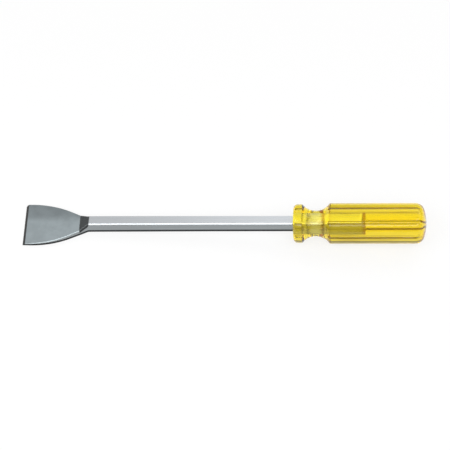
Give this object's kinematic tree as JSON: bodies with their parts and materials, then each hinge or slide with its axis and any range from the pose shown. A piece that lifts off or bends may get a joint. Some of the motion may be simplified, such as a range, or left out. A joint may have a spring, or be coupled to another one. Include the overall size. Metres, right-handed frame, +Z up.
{
  "type": "gasket scraper",
  "caption": "Hand scraper with a thin flared steel blade, a square shank and a see-through yellow fluted handle, lying at rest.",
  "frame": {"origin": "on the floor, under the middle of the box round the tool as it lies at rest", "axes": "+X from the cutting edge towards the butt of the handle, +Z up, +Y across the blade"},
  "size_m": [0.2914, 0.0382, 0.0338],
  "materials": {
    "satin_steel": "satin ground, with a fine grain",
    "yellow_plastic": "polished, see-through"
  },
  "bodies": {
    "root": {"blade_and_shank": "satin_steel", "handle": "yellow_plastic"}
  },
  "joints": []
}
